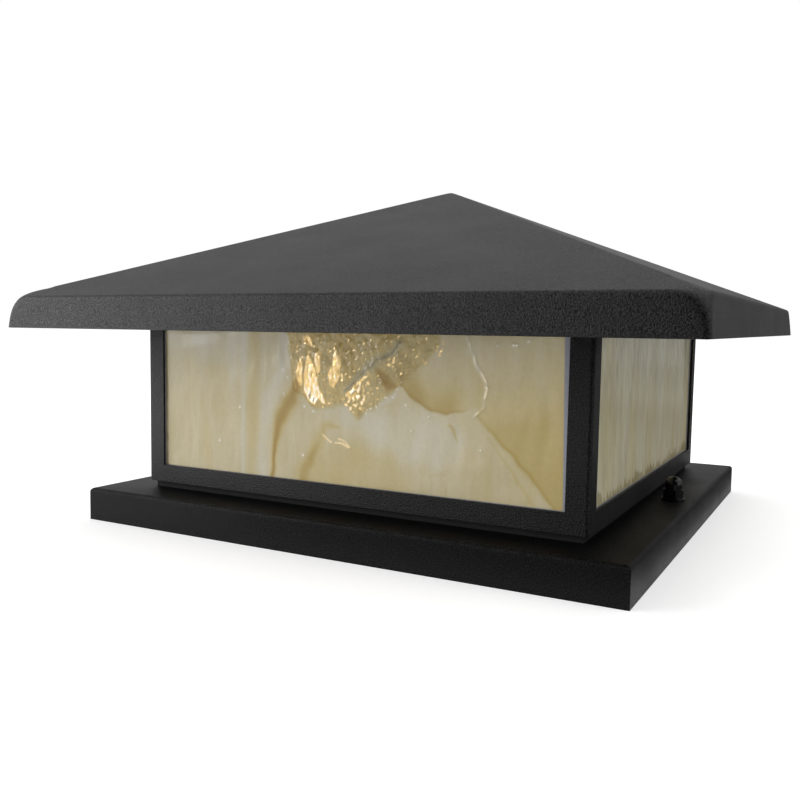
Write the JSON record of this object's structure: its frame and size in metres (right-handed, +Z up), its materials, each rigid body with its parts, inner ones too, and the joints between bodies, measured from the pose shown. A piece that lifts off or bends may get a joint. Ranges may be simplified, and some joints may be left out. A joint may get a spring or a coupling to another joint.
{
  "type": "post cap light",
  "caption": "Square deck post cap light with an overhanging pyramid roof, art-glass panes in a black metal frame, a screw-cap lamp inside and a base tray that fits on the post.",
  "frame": {"origin": "middle of the post's top face, which is the underside of the base tray and of the mounting strap", "axes": "+Z up, along the post; -Y is the front; the mounting strap and its two cap nuts lie along X"},
  "size_m": [0.3, 0.3, 0.1605],
  "materials": {
    "black_coat": "satin black powder coat with a fine grain",
    "zinc_plate": "bright zinc plate",
    "galvanised": "galvanised strip",
    "brass": "plain brass",
    "nickel_shell": "nickel plated",
    "art_glass": "opalescent cream and amber art glass, rolled surface",
    "seal_tape": "grey butyl tape",
    "black_rubber": "matt black rubber",
    "phenolic": "moulded phenolic",
    "porcelain": "glazed porcelain",
    "lamp_plastic": "white moulded plastic",
    "opal_globe": "opal moulded globe",
    "board": "white solder mask",
    "block_plastic": "natural polypropylene",
    "lead_brown": "brown insulation",
    "lead_blue": "blue insulation",
    "lead_green_yellow": "green and yellow insulation"
  },
  "bodies": {
    "lantern": {"mounting_strap": "galvanised", "strap_studs": "zinc_plate", "base_tray": "black_coat", "stud_washers": "black_coat", "cap_nuts": "black_coat", "cable_grommet": "black_rubber", "frame_gasket": "black_rubber", "post_front_left": "black_coat", "post_front_right": "black_coat", "post_back_right": "black_coat", "post_back_left": "black_coat", "sill_front": "black_coat", "sill_right": "black_coat", "sill_back": "black_coat", "sill_left": "black_coat", "head_front": "black_coat", "head_right": "black_coat", "head_back": "black_coat", "head_left": "black_coat", "frame_screws": "zinc_plate", "m4_nuts": "zinc_plate", "pane_front": "art_glass", "pane_right": "art_glass", "pane_back": "art_glass", "pane_left": "art_glass", "pane_seals": "seal_tape", "pane_clips": "zinc_plate", "clip_screws": "zinc_plate", "roof_pads": "black_rubber", "roof_screws": "black_coat", "lamp_bracket": "galvanised", "tray_screws": "zinc_plate", "holder_nipple": "zinc_plate", "holder_locknut": "zinc_plate", "holder_cap": "phenolic", "holder_insert": "porcelain", "holder_barrel": "phenolic", "screw_shell": "nickel_shell", "centre_contact": "brass", "side_contact": "brass", "terminal_block": "block_plastic", "terminal_tubes": "brass", "terminal_screws": "zinc_plate", "block_screws": "zinc_plate", "earth_tag": "zinc_plate", "lead_live": "lead_brown", "lead_neutral": "lead_blue", "lead_earth": "lead_green_yellow"},
    "roof": {"roof_front": "black_coat", "roof_right": "black_coat", "roof_back": "black_coat", "roof_left": "black_coat", "roof_brackets": "galvanised"},
    "lamp_lift": {"lamp_globe": "opal_globe"},
    "lamp": {"lamp_cap": "nickel_shell", "lamp_insulator": "black_rubber", "lamp_tip": "brass", "lamp_housing": "lamp_plastic", "led_board": "board"}
  },
  "joints": [
    {"name": "roof_lift", "type": "slide", "parent": "lantern", "child": "roof", "axis": [0, 0, 1], "range_m": [0, 0.08]},
    {"name": "lamp_rise", "type": "slide", "parent": "lantern", "child": "lamp_lift", "axis": [0, 0, 1], "range_m": [0, 0.0128]},
    {"name": "lamp_turn", "type": "hinge", "parent": "lamp_lift", "child": "lamp", "pos_m": [0, 0, 0.06], "axis": [0, 0, 1], "range_deg": [0, 1260]}
  ],
  "couplings": [
    {"joint": "lamp_rise", "follows": "lamp_turn", "m_per_rad": 0.00057773}
  ]
}
